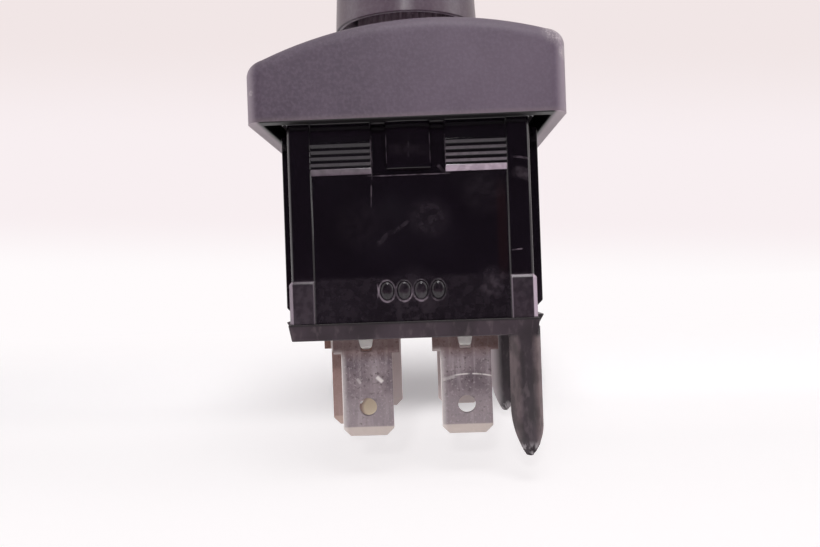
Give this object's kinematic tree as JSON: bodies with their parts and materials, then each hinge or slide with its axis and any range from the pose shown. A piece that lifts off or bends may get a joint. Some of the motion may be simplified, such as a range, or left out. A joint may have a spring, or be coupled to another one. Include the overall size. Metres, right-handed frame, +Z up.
{
  "type": "mirror adjusting switch",
  "caption": "Panel switch with a joystick knob on an arched cap, a box-shaped housing and flat push-on terminals between two locating fins.",
  "frame": {"origin": "centre of the cap's rim plane, which sits on the panel", "axes": "+Z up along the knob, +X to the right and -Y to the front, seen with the two fins on the right"},
  "size_m": [0.0374, 0.039, 0.0682],
  "materials": {
    "cap_plastic": "satin, fine grain",
    "housing_plastic": "gloss",
    "plate_plastic": "satin",
    "knob_plastic": "satin",
    "collar_plastic": "matte, fluted",
    "inner_plastic": "natural",
    "board_plastic": "plain",
    "tinned_brass": "tinned, tarnished",
    "contact_brass": "bright",
    "spring_steel": "plain"
  },
  "bodies": {
    "switch_body": {"cap": "cap_plastic", "collar": "collar_plastic", "housing": "housing_plastic", "base_plate": "plate_plastic", "contact_board": "board_plastic", "pivot_frame": "inner_plastic", "return_spring": "spring_steel", "ring_pin_left": "spring_steel", "ring_pin_right": "spring_steel", "fixed_contact_left": "contact_brass", "fixed_contact_right_rear": "contact_brass", "fixed_contact_right_front": "contact_brass", "bus_strip_left": "contact_brass", "bus_strip_right_rear": "contact_brass", "bus_strip_right_front": "contact_brass", "terminal_front_left": "tinned_brass", "terminal_front_right": "tinned_brass", "terminal_middle_left": "tinned_brass", "terminal_rear_left": "tinned_brass", "terminal_rear_right": "tinned_brass"},
    "gimbal": {"gimbal_ring": "inner_plastic", "cradle_pin_front": "spring_steel", "cradle_pin_rear": "spring_steel"},
    "joystick": {"cradle": "inner_plastic", "stem": "inner_plastic", "stem_clip": "spring_steel", "knob": "knob_plastic"},
    "x_carrier": {"x_slider": "inner_plastic", "x_bridge_left": "contact_brass", "x_bridge_right": "contact_brass"},
    "y_carrier": {"y_slider": "inner_plastic", "y_bridge_front": "contact_brass", "y_bridge_rear": "contact_brass"}
  },
  "joints": [
    {"name": "tilt_front_rear", "type": "hinge", "parent": "switch_body", "child": "gimbal", "pos_m": [0, 0, 0.006], "axis": [1, 0, 0], "range_deg": [-7, 7], "stiffness_Nm_per_rad": 0.3, "deforming": ["return_spring"]},
    {"name": "tilt_left_right", "type": "hinge", "parent": "gimbal", "child": "joystick", "pos_m": [0, 0, 0.006], "axis": [0, 1, 0], "range_deg": [-7, 7], "stiffness_Nm_per_rad": 0.3},
    {"name": "x_carrier_slide", "type": "slide", "parent": "switch_body", "child": "x_carrier", "axis": [1, 0, 0], "range_m": [-0.00135, 0.00135]},
    {"name": "y_carrier_slide", "type": "slide", "parent": "switch_body", "child": "y_carrier", "axis": [0, 1, 0], "range_m": [-0.00155, 0.00155]}
  ],
  "couplings": [
    {"joint": "x_carrier_slide", "follows": "tilt_left_right", "m_per_rad": -0.0106},
    {"joint": "y_carrier_slide", "follows": "tilt_front_rear", "m_per_rad": 0.0122}
  ]
}
